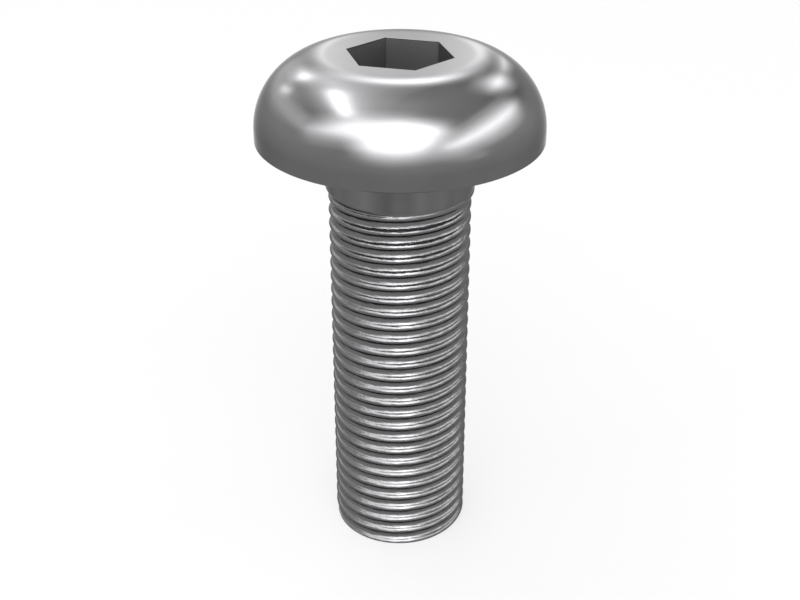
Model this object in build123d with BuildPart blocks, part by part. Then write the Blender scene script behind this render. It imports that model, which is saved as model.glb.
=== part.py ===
from build123d import *
from math import hypot, radians, tan
import os

# Pan head screw with a hexagon socket, made as one piece: head, smooth neck and threaded shank.
# Origin at the centre of the bearing face under the head, +Z towards the top of the head, millimetres.

# Head: an upright rim, then a quarter-round crown that runs into a flat top
head_diameter = 9.5
head_height = 2.75
rim_height = 0.35
rim_edge_break = 0.05

# Socket for a 3 mm hexagon key, with the cone of its pilot hole at the bottom
socket_across_flats = 3.08
socket_depth = 1.65
socket_corner_angle = -15.0
pilot_diameter = 2.9
pilot_point_angle = 120.0

# Smooth neck of nominal size, which tapers to the thread's crests
neck_diameter = 5.0
neck_length = 2.05
neck_taper_height = 0.3
neck_taper_blend_share = 0.82
neck_fillet_radius = 0.2

# Shank, drawn at the crests of its M5 x 0.5 thread, from the bearing face to its flat end
thread_crest_diameter = 4.8
screw_length = 15.0
end_edge_break = 0.05

# Radii and heights that follow from these
head_radius = head_diameter / 2
neck_radius = neck_diameter / 2
crest_radius = thread_crest_diameter / 2
crown_radius = head_height - rim_height
flat_top_radius = head_radius - crown_radius
socket_floor_height = head_height - socket_depth
pilot_point_height = pilot_diameter / 2 / tan(radians(pilot_point_angle / 2))

# The two blends at the ends of the taper take up this share of its slope together, whichever way it goes
neck_taper_width = abs(neck_radius - crest_radius)
neck_taper_slope = hypot(neck_taper_height, neck_taper_width)
largest_blend_radius = neck_taper_slope * neck_taper_width / (neck_taper_slope - neck_taper_height) / 2

# A solid that hangs below its location
hanging = (Align.CENTER, Align.CENTER, Align.MAX)


def bearing_face(part):
    """The flat ring under the head, between the flat end and the flat top."""
    return part.faces().filter_by(GeomType.PLANE).filter_by(Axis.Z).sort_by(Axis.Z)[1]


with BuildPart() as pan_head_screw:
    # Turned form: half of the axial section, revolved about the axis
    with BuildSketch(Plane.XZ) as half_section:
        with BuildLine() as outline:
            flat_top = Line((0, head_height), (flat_top_radius, head_height))
            crown = JernArc(flat_top @ 1, flat_top % 1, crown_radius, -90)
            Polyline(
                crown @ 1,
                (head_radius, 0),
                (neck_radius, 0),
                (neck_radius, neck_taper_height - neck_length),
                (crest_radius, -neck_length),
                (crest_radius, -screw_length),
                (0, -screw_length),
                flat_top @ 0,
            )
        make_face()
    revolve(axis=Axis.Z)

    # The taper below the neck runs smoothly into the neck and into the crests
    taper_ends = (
        pan_head_screw.edges()
        .filter_by(GeomType.CIRCLE)
        .filter_by_position(Axis.Z, -neck_length, neck_taper_height - neck_length)
    )
    fillet(taper_ends, radius=neck_taper_blend_share * largest_blend_radius)

    # Fillet that carries the head on the neck, and the broken edges of the rim and of the flat end
    neck_corner = bearing_face(pan_head_screw).edges().sort_by(SortBy.RADIUS)[0]
    fillet(neck_corner, radius=neck_fillet_radius)
    rim_edge = bearing_face(pan_head_screw).edges().sort_by(SortBy.RADIUS)[-1]
    chamfer(rim_edge, length=rim_edge_break)
    end_edge = pan_head_screw.faces().sort_by(Axis.Z)[0].edges()
    chamfer(end_edge, length=end_edge_break)

    # Hexagon socket, sunk from the flat top
    with BuildSketch(Plane.XY.offset(head_height)) as hexagon:
        RegularPolygon(socket_across_flats / 2, 6, major_radius=False, rotation=socket_corner_angle)
    extrude(amount=-socket_depth, mode=Mode.SUBTRACT)

    # Cone left by the point of the pilot drill, below the hexagon
    with Locations((0, 0, socket_floor_height)):
        Cone(0, pilot_diameter / 2, pilot_point_height, align=hanging, mode=Mode.SUBTRACT)

pan_head_screw.part.label = "pan_head_screw"

os.makedirs("parts", exist_ok=True)
export_step(pan_head_screw.part, "parts/pan_head_screw.step")
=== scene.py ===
from math import cos, exp, pi, radians, sin, tan

import bmesh
import bpy
from mathutils import Matrix, Vector


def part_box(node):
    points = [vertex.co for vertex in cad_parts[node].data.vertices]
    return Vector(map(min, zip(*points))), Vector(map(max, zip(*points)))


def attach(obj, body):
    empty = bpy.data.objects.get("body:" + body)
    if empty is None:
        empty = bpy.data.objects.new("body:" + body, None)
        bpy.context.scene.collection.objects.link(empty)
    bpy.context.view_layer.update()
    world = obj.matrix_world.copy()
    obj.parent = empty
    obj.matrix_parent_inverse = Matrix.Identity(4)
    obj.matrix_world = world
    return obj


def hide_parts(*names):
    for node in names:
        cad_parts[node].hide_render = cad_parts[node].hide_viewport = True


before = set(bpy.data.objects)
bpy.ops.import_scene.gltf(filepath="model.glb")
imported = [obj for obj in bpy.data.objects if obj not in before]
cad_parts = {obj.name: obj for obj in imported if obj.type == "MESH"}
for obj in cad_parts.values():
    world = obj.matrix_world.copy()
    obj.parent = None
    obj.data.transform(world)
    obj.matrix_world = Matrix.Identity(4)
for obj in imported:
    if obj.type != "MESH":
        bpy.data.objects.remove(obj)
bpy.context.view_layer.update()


# Camera. It looks 28.5 degrees down on the screw, which stands with its head up as in the photograph.
# Its place and its lens were worked out from the outline of the screw there.
looks_down = 28.472
bpy.ops.object.camera_add(location=(0, -0.03861, 0.01481), rotation=(radians(90 - looks_down), 0, 0))
camera = bpy.context.object
camera.name = "camera"
camera.data.lens = 56.47
camera.data.sensor_width = 36
camera.data.clip_start = 0.001
camera.data.clip_end = 20
bpy.context.scene.camera = camera
bpy.context.scene.view_settings.view_transform = "Standard"


# Thread. A single-start right-hand M5 x 0.5 thread, rolled on the steel shank, with round crests and
# roots. The outline of one turn is drawn and carried up the shank as a screw. The screw is shaped in
# millimetres, and its length and the size of its head are taken from the part in model.glb.
millimetre = 0.001
lowest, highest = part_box("pan_head_screw")
screw_length = -lowest.z / millimetre
pitch = 0.5
crest_radius = 2.4
end_edge_break = 0.02
crest_above_end = 0.175
turns = 29
turns_below_end = 2
steps_a_turn = 96
degrees_a_step = 9

# Points nearer than this to each other are one, and points nearer than this to a cut lie on it
same_place = 0.001
on_the_cut = 0.002


def start_outline(name, radius, height):
    """A new mesh, in edit mode, of one vertex from which an outline is drawn in the XZ plane."""
    bpy.ops.object.select_all(action="DESELECT")
    bpy.ops.mesh.primitive_plane_add(size=0.1)
    bpy.context.object.name = name
    bpy.ops.object.mode_set(mode="EDIT")
    bpy.ops.mesh.select_mode(type="VERT")
    bpy.ops.mesh.merge(type="CENTER")
    bpy.ops.transform.translate(value=(radius, 0, height))
    return bpy.context.object


def line(*steps):
    """Carries the outline on in straight steps, each outwards and upwards by so much."""
    for outwards, upwards in steps:
        bpy.ops.mesh.extrude_region_move(TRANSFORM_OT_translate={"value": (outwards, 0, upwards)})


def arc(radius, height, turn, steps):
    """Carries the outline on round this centre; a positive turn goes from outwards to upwards."""
    axis = (0, 1 if turn > 0 else -1, 0)
    bpy.ops.mesh.spin(steps=steps, angle=abs(turn), center=(radius, 0, height), axis=axis)


def pick(kind, test):
    """In edit mode, selects only the edges or only the faces that pass the test."""
    bpy.ops.mesh.select_mode(type=kind)
    bpy.ops.mesh.select_all(action="DESELECT")
    mesh = bmesh.from_edit_mesh(bpy.context.object.data)
    for item in {"EDGE": mesh.edges, "FACE": mesh.faces}[kind]:
        if test(item):
            item.select_set(True)
    mesh.select_flush_mode()
    bmesh.update_edit_mesh(bpy.context.object.data)


def finish_with(piece, kind, **settings):
    """Gives the piece a modifier and applies it."""
    bpy.ops.object.select_all(action="DESELECT")
    piece.select_set(True)
    bpy.context.view_layer.objects.active = piece
    modifier = piece.modifiers.new(kind.lower(), kind)
    for name, value in settings.items():
        setattr(modifier, name, value)
    bpy.ops.object.modifier_apply(modifier=modifier.name)


def climb(radius, start, end):
    """How far the outline climbs along a bend."""
    return radius * abs(sin(radians(end)) - sin(radians(start)))


# From a crest to the root above it, the outline turns its face up, quickly and then slowly, and back
# again. Each bend is its radius and the angles at which it starts and ends, and the root's bend takes up
# what the others leave of half a pitch.
crest_bends = [(0.056, 0, 21), (0.16, 21, 45), (0.14, 45, 60)]
flank_bends = [(radius, end, start) for radius, start, end in reversed(crest_bends[1:])]
root_start = flank_bends[-1][-1]
root_climb = pitch / 2 - sum(climb(*bend) for bend in crest_bends + flank_bends)
root_bend = (root_climb / sin(radians(root_start)), root_start, 0)
bends = crest_bends + flank_bends + [root_bend]
bends += [(radius, -end, -start) for radius, start, end in reversed(bends)]

tip = Vector((crest_radius, crest_above_end - screw_length - turns_below_end * pitch))
screw = start_outline("threaded_screw", *tip)
for radius, start, end in bends:
    # A round bend has its centre in the steel, and a hollow one has it outside
    inwards = radius if end > start else -radius
    centre = tip - inwards * Vector((cos(radians(start)), sin(radians(start))))
    arc(*centre, radians(end - start), round(abs(end - start) / degrees_a_step))
    tip = centre + inwards * Vector((cos(radians(end)), sin(radians(end))))
bpy.ops.object.mode_set(mode="OBJECT")
finish_with(
    screw,
    "SCREW",
    axis="Z",
    angle=2 * pi,
    screw_offset=pitch,
    iterations=turns,
    steps=steps_a_turn,
    render_steps=steps_a_turn,
)

# The end is cut flat, and its edge is broken
end_scale = 1 - end_edge_break / crest_radius
bpy.ops.object.mode_set(mode="EDIT")
bpy.ops.mesh.select_all(action="SELECT")
bpy.ops.mesh.remove_doubles(threshold=same_place)
bpy.ops.mesh.bisect(
    plane_co=(0, 0, end_edge_break - screw_length),
    plane_no=(0, 0, 1),
    clear_inner=True,
    threshold=on_the_cut,
)
bpy.ops.mesh.extrude_region_move(TRANSFORM_OT_translate={"value": (0, 0, -end_edge_break)})
bpy.ops.transform.resize(value=(end_scale, end_scale, 0), center_override=(0, 0, -screw_length))
bpy.ops.mesh.edge_face_add()
bpy.ops.object.mode_set(mode="OBJECT")

# Under the neck the grooves run out to the crests, and the shank tapers out to the neck, each between two
# heights. The taper is a small share of the way to a far wider cylinder, which leaves the grooves on it as
# deep as they are.
neck_radius = 2.5
neck_foot = -1.62
far_radius = 100.0
taper_share = (neck_radius - crest_radius) / (far_radius - crest_radius)
for name, radius_above, share_above, low, high in (
    ("grooves_fill", crest_radius, 1, -1.88, -1.65),
    ("shank_tapers", far_radius, taper_share, -2.06, -1.79),
):
    group = screw.vertex_groups.new(name=name)
    for vertex in screw.data.vertices:
        weight = min(max((vertex.co.z - low) / (high - low), 0), 1)
        if weight > 0:
            group.add([vertex.index], weight, "REPLACE")
    finish_with(
        screw,
        "CAST",
        cast_type="CYLINDER",
        use_radius_as_size=False,
        size=radius_above,
        factor=share_above,
        vertex_group=name,
    )
screw.vertex_groups.clear()
bpy.ops.object.mode_set(mode="EDIT")
bpy.ops.mesh.select_all(action="SELECT")
bpy.ops.mesh.bisect(
    plane_co=(0, 0, neck_foot), plane_no=(0, 0, 1), clear_outer=True, threshold=on_the_cut
)
bpy.ops.object.mode_set(mode="OBJECT")


# Head and neck. Upset from the same wire: a smooth neck, a flat bearing face, an upright rim and a
# quarter-round crown that runs into the flat top. The outline is spun round the axis, and a ring of faces
# joins it to the thread. Narrow faces beside edges and fillets keep the shading of the wide ones flat.
head_radius = highest.x / millimetre
head_height = highest.z / millimetre
rim_height = 0.35
rim_edge_break = 0.02
neck_fillet = 0.2
crown_radius = head_height - rim_height
flat_top_radius = head_radius - crown_radius
joining_ring = 0.05
holding = 0.08
head_steps = 256

head = start_outline("head", neck_radius, neck_foot + joining_ring)
neck_height = -neck_fillet - neck_foot - joining_ring
bearing_width = head_radius - rim_edge_break - neck_radius - neck_fillet
line((0, neck_height - holding), (0, holding))
arc(neck_radius + neck_fillet, -neck_fillet, turn=-pi / 2, steps=8)
line((holding, 0), (bearing_width - 2 * holding, 0), (holding, 0))
line((rim_edge_break, rim_edge_break))
line((0, holding), (0, rim_height - rim_edge_break - 2 * holding), (0, holding))
arc(flat_top_radius, rim_height, turn=pi / 2, steps=36)
line((-holding, 0))
bpy.ops.mesh.select_all(action="SELECT")
bpy.ops.mesh.spin(steps=head_steps, angle=2 * pi, center=(0, 0, 0), axis=(0, 0, 1))
bpy.ops.mesh.select_all(action="SELECT")
bpy.ops.mesh.remove_doubles(threshold=same_place)
pick("EDGE", lambda edge: edge.is_boundary and edge.verts[0].co.z > 0)
bpy.ops.mesh.edge_face_add()
bpy.ops.object.mode_set(mode="OBJECT")

bpy.ops.object.select_all(action="DESELECT")
head.select_set(True)
screw.select_set(True)
bpy.context.view_layer.objects.active = screw
bpy.ops.object.join()
bpy.ops.object.mode_set(mode="EDIT")
pick("EDGE", lambda edge: edge.is_boundary)
bpy.ops.mesh.bridge_edge_loops()
bpy.ops.mesh.select_all(action="SELECT")
bpy.ops.mesh.normals_make_consistent(inside=False)
bpy.ops.object.mode_set(mode="OBJECT")


# Socket. A hexagon for a 3 mm key, punched into the flat top over a drilled pilot hole, whose point leaves
# a cone under the hexagon. Two cutters take it out, and one narrow chamfer breaks the edge at its mouth and
# leaves the flat top and the walls flatly shaded.
socket_across_flats = 3.08
socket_corner = socket_across_flats / 2 / cos(pi / 6)
socket_depth = 1.65
socket_floor = head_height - socket_depth
socket_corner_angle = -15
socket_edge_break = 0.01
pilot_radius = 1.45
pilot_point_angle = 120
pilot_point = pilot_radius / tan(radians(pilot_point_angle / 2))
punch_above_head = 1
punch_height = socket_depth + punch_above_head
drill_above_point = 0.3

# A cylinder of six sides is added with a corner at 30 degrees, which is turned to its place
bpy.ops.mesh.primitive_cylinder_add(
    vertices=6,
    radius=socket_corner,
    depth=punch_height,
    location=(0, 0, socket_floor + punch_height / 2),
    rotation=(0, 0, radians(socket_corner_angle - 30)),
)
hexagon_punch = bpy.context.object
bpy.ops.mesh.primitive_cone_add(
    vertices=96,
    radius1=0,
    radius2=pilot_radius,
    depth=pilot_point,
    location=(0, 0, socket_floor - pilot_point / 2),
)
pilot_drill = bpy.context.object

# The drill's flat upper face is carried up into the hexagon
bpy.ops.object.mode_set(mode="EDIT")
pick("FACE", lambda face: face.normal.z > 0.99)
bpy.ops.mesh.extrude_region_move(TRANSFORM_OT_translate={"value": (0, 0, drill_above_point)})
bpy.ops.object.mode_set(mode="OBJECT")
for cutter in (hexagon_punch, pilot_drill):
    finish_with(screw, "BOOLEAN", operation="DIFFERENCE", solver="EXACT", object=cutter)
    bpy.data.objects.remove(cutter)


def is_socket_mouth(edge):
    """Is this an edge of the hexagon in the flat top?"""
    level = all(abs(vertex.co.z - head_height) < same_place for vertex in edge.verts)
    return level and any(abs(face.normal.z) < 0.1 for face in edge.link_faces)


bpy.ops.object.mode_set(mode="EDIT")
pick("EDGE", is_socket_mouth)
bpy.ops.mesh.bevel(offset=socket_edge_break, segments=1)

# The finished screw is brought from millimetres to metres and shaded smooth between its edges
bpy.ops.mesh.select_all(action="SELECT")
bpy.ops.transform.resize(value=(millimetre, millimetre, millimetre), center_override=(0, 0, 0))
bpy.ops.object.mode_set(mode="OBJECT")
bpy.ops.object.select_all(action="DESELECT")
screw.select_set(True)
bpy.context.view_layer.objects.active = screw
bpy.ops.object.shade_smooth_by_angle(angle=radians(35))


# Steel. Stainless steel, cold headed and tumbled bright, without a coating. The tumbling gives the crown a
# close satin that spreads reflections a little, and the thread keeps the streaks of its rolling dies.
def linear(colour):
    """An sRGB hex colour as linear red, green, blue and alpha."""
    parts = [int(colour[i : i + 2], 16) / 255 for i in (1, 3, 5)]
    return [p / 12.92 if p <= 0.04045 else ((p + 0.055) / 1.055) ** 2.4 for p in parts] + [1]


def add_node(tree, kind, inputs=None, **settings):
    """Adds a node with its settings. An input takes a value, an output or a node's first output."""
    node = tree.nodes.new(kind)
    for name, value in settings.items():
        setattr(node, name, value)
    for key, value in (inputs or {}).items():
        if isinstance(value, bpy.types.Node):
            value = value.outputs[0]
        if isinstance(value, bpy.types.NodeSocket):
            tree.links.new(value, node.inputs[key])
        else:
            node.inputs[key].default_value = value
    return node


steel = bpy.data.materials.new("tumbled_steel")
steel.use_nodes = True
tree = steel.node_tree
shader = tree.nodes["Principled BSDF"]
shader.inputs["Metallic"].default_value = 1
shader.inputs["Specular Tint"].default_value = (0.55, 0.55, 0.55, 1)

# The place on the screw in millimetres, its height above the bearing face and its distance from the axis
metres = add_node(tree, "ShaderNodeTexCoord").outputs["Object"]
place = add_node(tree, "ShaderNodeVectorMath", {0: metres, "Scale": 1 / millimetre}, operation="SCALE")
height = add_node(tree, "ShaderNodeSeparateXYZ", {"Vector": place}).outputs["Z"]
sideways = add_node(tree, "ShaderNodeVectorMath", {0: place, 1: (1, 1, 0)}, operation="MULTIPLY")
off_axis = add_node(tree, "ShaderNodeVectorMath", {0: sideways}, operation="LENGTH").outputs["Value"]

# Where each area is: painted light on the steel grows from 0.5 to 1.3 mm up, which leaves the rim, neck
# and shank darker as painted shade, the thread begins 1.65 mm below the head, and the socket's walls lie
# within its corners and below the edge at its mouth
painted_light_by_height = add_node(tree, "ShaderNodeMapRange", {"Value": height, "From Min": 0.5, "From Max": 1.3})
below_head = add_node(tree, "ShaderNodeMapRange", {"Value": height, "From Min": 0, "From Max": -0.3})
on_thread = add_node(tree, "ShaderNodeMapRange", {"Value": height, "From Min": -1.65, "From Max": -1.85})
on_neck = add_node(tree, "ShaderNodeMath", {0: below_head, 1: on_thread}, operation="SUBTRACT")
within_corners = add_node(
    tree,
    "ShaderNodeMapRange",
    {"Value": off_axis, "From Min": socket_corner + 0.04, "From Max": socket_corner},
)
under_mouth = add_node(
    tree,
    "ShaderNodeMapRange",
    {"Value": height, "From Min": head_height - socket_edge_break, "From Max": head_height - 0.05},
)
on_walls = add_node(tree, "ShaderNodeMath", {0: within_corners, 1: under_mouth}, operation="MULTIPLY")

# Roughness: clouds about 1.4 mm wide. The rolled thread is a little duller than they are, and the
# socket's punched walls are far duller.
cloud_width = 1.4
clouds = add_node(tree, "ShaderNodeTexNoise", {"Vector": place, "Scale": 1 / cloud_width, "Detail": 3})
roughness = add_node(tree, "ShaderNodeMapRange", {"Value": clouds, "To Min": 0.11, "To Max": 0.2})
for area, rougher in ((on_thread, 0.08), (on_walls, 0.27)):
    with_area = {0: area, 1: rougher, 2: roughness}
    roughness = add_node(tree, "ShaderNodeMath", with_area, operation="MULTIPLY_ADD")
tree.links.new(roughness.outputs[0], shader.inputs["Roughness"])

# Colour, as shares of the way from the darker grey to the lighter: most on the crown as painted light, less
# below it as painted shade, a little more on the thread as painted light against the shade of its roots,
# the clouds in it and, on the neck, upright bands about 1 mm wide that are a painted reflection
reflection_band_size = (1, 1, 12.5)
reflection_band_place = add_node(tree, "ShaderNodeMapping", {"Vector": place, "Scale": [1 / side for side in reflection_band_size]})
reflection_band_noise = add_node(tree, "ShaderNodeTexNoise", {"Vector": reflection_band_place, "Scale": 1, "Detail": 1})
painted_reflection_bands = add_node(tree, "ShaderNodeMapRange", {"Value": reflection_band_noise, "To Min": -0.6, "To Max": 0.6})
shade = add_node(tree, "ShaderNodeMath", {0: clouds, 1: 0.25, 2: 0.185}, operation="MULTIPLY_ADD")
# Painted light higher up the head, painted light on the thread against its dark roots, and painted
# reflection bands on the neck
for area, lighter in ((painted_light_by_height, 0.57), (on_thread, 0.1), (on_neck, painted_reflection_bands)):
    shade = add_node(tree, "ShaderNodeMath", {0: area, 1: lighter, 2: shade}, operation="MULTIPLY_ADD")
colour = add_node(tree, "ShaderNodeValToRGB", {"Fac": shade})
colour.color_ramp.elements[0].color = linear("#525253")
colour.color_ramp.elements[1].color = linear("#79797a")
tree.links.new(colour.outputs["Color"], shader.inputs["Base Color"])

# Relief, as shares of its depth: pits all over, upright streaks below the head and on the socket's walls,
# and level streaks on the thread. It is drawn deeper and coarser than it really is, so that it shows.
relief_depth = 0.015
pit_width = 0.08
upright_streak_size = (0.07, 0.07, 1.4)
level_streak_size = (0.4, 0.4, 0.08)
pits = add_node(tree, "ShaderNodeTexNoise", {"Vector": place, "Scale": 1 / pit_width, "Detail": 2})
relief = add_node(tree, "ShaderNodeMath", {0: pits, 1: 0.04}, operation="MULTIPLY")
punched = add_node(tree, "ShaderNodeMath", {0: on_walls, 1: 0.3}, operation="MULTIPLY")
upright = add_node(tree, "ShaderNodeMath", {0: below_head, 1: 0.15, 2: punched}, operation="MULTIPLY_ADD")
for area, size in ((upright, upright_streak_size), (on_thread, level_streak_size)):
    run = add_node(tree, "ShaderNodeMapping", {"Vector": place, "Scale": [1 / side for side in size]})
    streaks = add_node(tree, "ShaderNodeTexNoise", {"Vector": run, "Scale": 1, "Detail": 2})
    relief = add_node(tree, "ShaderNodeMath", {0: streaks, 1: area, 2: relief}, operation="MULTIPLY_ADD")
bump = add_node(tree, "ShaderNodeBump", {"Height": relief, "Distance": relief_depth * millimetre})
tree.links.new(bump.outputs["Normal"], shader.inputs["Normal"])

screw.data.materials.clear()
screw.data.materials.append(steel)
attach(screw, "root")
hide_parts("pan_head_screw")


# Studio. White paper that the screw stands on. The camera and the steel see it mostly as an even white,
# and the rest of what they see of it is lit by the lamps, so that it keeps the screw's shadow. Further
# out, where the lamps' light thins out, the even white takes over.
paper_width = 6
lit_within = 0.15
even_beyond = 0.4
bpy.ops.mesh.primitive_plane_add(size=paper_width, location=(0, 0, -screw_length * millimetre))
floor = bpy.context.object
floor.name = "floor"
paper = bpy.data.materials.new("white_paper")
paper.use_nodes = True
tree = paper.node_tree
shader = tree.nodes["Principled BSDF"]
shader.inputs["Base Color"].default_value = linear("#e6e6e6")
shader.inputs["Roughness"].default_value = 1
rays = add_node(tree, "ShaderNodeLightPath").outputs
seen = rays["Is Camera Ray"]
for ray in ("Is Glossy Ray", "Is Transmission Ray"):
    seen = add_node(tree, "ShaderNodeMath", {0: seen, 1: rays[ray]}, operation="ADD")
on_paper = add_node(tree, "ShaderNodeTexCoord").outputs["Object"]
away = add_node(tree, "ShaderNodeVectorMath", {0: on_paper}, operation="LENGTH").outputs["Value"]
further_out = {"Value": away, "From Min": lit_within, "From Max": even_beyond}
even = add_node(tree, "ShaderNodeMapRange", {**further_out, "To Min": 0.85})
glow = add_node(tree, "ShaderNodeMapRange", {**further_out, "To Min": 0.76, "To Max": 0.99})
share = add_node(tree, "ShaderNodeMath", {0: seen, 1: even}, operation="MULTIPLY", use_clamp=True)
white = add_node(tree, "ShaderNodeEmission", {"Strength": glow})
mixed = add_node(tree, "ShaderNodeMixShader", {0: share, 1: shader, 2: white})
tree.links.new(mixed.outputs[0], tree.nodes["Material Output"].inputs["Surface"])
floor.data.materials.append(paper)


# Lamps. Soft boxes, each 0.4 m from the screw's head, at an azimuth that is 0 behind the screw and 90 on
# its right, as the camera sees it. Each is brightest in the middle and fades towards its edges, and the
# camera doesn't see it.
lamp_distance = 0.4

# On each side a lamp is larger than its half size by this many times its softness, as room for its fade
fade_room = 3


def softbox(name, azimuth, elevation, roll, half_width, half_height, softness, radiance):
    """An area lamp that faces the screw. Half sizes and softness are tangents of the angles they span."""
    away = Vector((
        sin(radians(azimuth)) * cos(radians(elevation)),
        cos(radians(azimuth)) * cos(radians(elevation)),
        sin(radians(elevation)),
    ))
    level = Vector((cos(radians(azimuth)), -sin(radians(azimuth)), 0))
    across = level * cos(radians(roll)) + level.cross(away) * sin(radians(roll))
    bpy.ops.object.light_add(type="AREA")
    lamp = bpy.context.object
    lamp.name = name
    lamp.visible_camera = False
    lamp.data.shape = "RECTANGLE"
    lamp.data.size = 2 * lamp_distance * (half_width + fade_room * softness)
    lamp.data.size_y = 2 * lamp_distance * (half_height + fade_room * softness)

    # The power that gives a flat lamp this radiance is the radiance times pi and its area
    lamp.data.energy = radiance * pi * lamp.data.size * lamp.data.size_y
    turned = Matrix((across, away.cross(across), away)).transposed().to_4x4()
    lamp.matrix_world = Matrix.Translation(away * lamp_distance) @ turned

    # Across the lamp and up it, the light falls from 1 in the middle to near 0 along a smooth S
    lamp.data.use_nodes = True
    tree = lamp.data.node_tree
    on_lamp = add_node(tree, "ShaderNodeNewGeometry").outputs["Parametric"]
    sides = add_node(tree, "ShaderNodeSeparateXYZ", {"Vector": on_lamp}).outputs
    strength = 1
    for side, half_size in ((sides["X"], half_width), (sides["Y"], half_height)):
        softnesses = half_size / softness
        top = 0.5 + 0.5 * exp(-softnesses)
        centred = add_node(tree, "ShaderNodeMath", {0: side, 1: 0.5}, operation="SUBTRACT")
        outwards = add_node(tree, "ShaderNodeMath", {0: centred}, operation="ABSOLUTE")
        slope = {0: outwards, 1: softnesses + fade_room, 2: -softnesses / 2}
        past_edge = add_node(tree, "ShaderNodeMath", slope, operation="MULTIPLY_ADD")
        curve = add_node(tree, "ShaderNodeMath", {0: past_edge}, operation="TANH")
        fall = add_node(tree, "ShaderNodeMath", {0: curve, 1: -top, 2: top}, operation="MULTIPLY_ADD")
        strength = add_node(tree, "ShaderNodeMath", {0: fall, 1: strength}, operation="MULTIPLY")
    tree.links.new(strength.outputs[0], tree.nodes["Emission"].inputs["Strength"])


# In front of the screw, to its left, to its right and behind it, with the angles in degrees
softbox("front_box", 182, 31.5, -6.5, 0.44, 0.24, 0.125, 7.2)
softbox("front_left_bar", -143.5, 40.5, -7.5, 0.94, 0.02, 0.14, 3.8)
softbox("front_left_strip", -143, 57, -36, 0.44, 0.02, 0.12, 4.2)
softbox("front_right_bar", 162, 50, -74.5, 0.11, 0.29, 0.09, 7.2)
softbox("front_right_low_box", 134.5, 6.5, 19, 0.43, 0.11, 0.03, 0.65)
softbox("left_strip", -72, 60.5, -7.5, 0.34, 0.02, 0.038, 7.2)
softbox("left_low_box", -50.5, 22, -16.5, 0.72, 0.17, 0.045, 1.5)
softbox("left_low_spot", -44.5, 23, 39, 0.042, 0.1, 0.024, 3)
softbox("right_strip", 103, 28, -2, 0.78, 0.02, 0.11, 6)
softbox("back_left_bar", -40, 55.5, -40, 0.81, 0.02, 0.15, 3)
softbox("back_left_glint", -29, 31, 22, 0.065, 0.025, 0.022, 4.2)
softbox("back_left_spot", -27.5, 29.5, 40, 0.02, 0.075, 0.055, 5.9)
softbox("back_spot", 3, 36.5, -28, 0.087, 0.087, 0.06, 7.2)
softbox("back_box", 3.5, 27, -52, 0.225, 0.11, 0.047, 2.3)
softbox("back_low_left_strip", -6, 14.5, -1, 0.04, 0.13, 0.036, 4.1)
softbox("back_low_right_strip", 7, 13, 8, 0.05, 0.125, 0.022, 3.8)
softbox("back_low_far_right_strip", 19.5, 14.5, -33, 0.012, 0.14, 0.03, 4.1)
softbox("back_right_spot", 36, 33, 42.5, 0.136, 0.025, 0.07, 7.2)

# The room's grey by elevation, from the level floor to straight up
world = bpy.data.worlds.new("studio")
world.use_nodes = True
bpy.context.scene.world = world
tree = world.node_tree
direction = add_node(tree, "ShaderNodeTexCoord").outputs["Generated"]
upwards = add_node(tree, "ShaderNodeSeparateXYZ", {"Vector": direction}).outputs["Z"]
elevation = add_node(tree, "ShaderNodeMath", {0: upwards}, operation="ARCSINE")
quarter_share = add_node(tree, "ShaderNodeMath", {0: elevation, 1: 2 / pi}, operation="MULTIPLY")
room = add_node(tree, "ShaderNodeValToRGB", {"Fac": quarter_share})
greys = (
    (0, "#e2e2e2"),
    (10, "#dedede"),
    (30, "#555555"),
    (50, "#c4c4c4"),
    (70, "#d4d4d4"),
    (90, "#ffffff"),
)
while len(room.color_ramp.elements) < len(greys):
    room.color_ramp.elements.new(0.5)
for element, (degrees, grey) in zip(room.color_ramp.elements, greys):
    element.position = degrees / 90
    element.color = linear(grey)
background = tree.nodes["Background"]
background.inputs["Strength"].default_value = 1.3
tree.links.new(room.outputs["Color"], background.inputs["Color"])
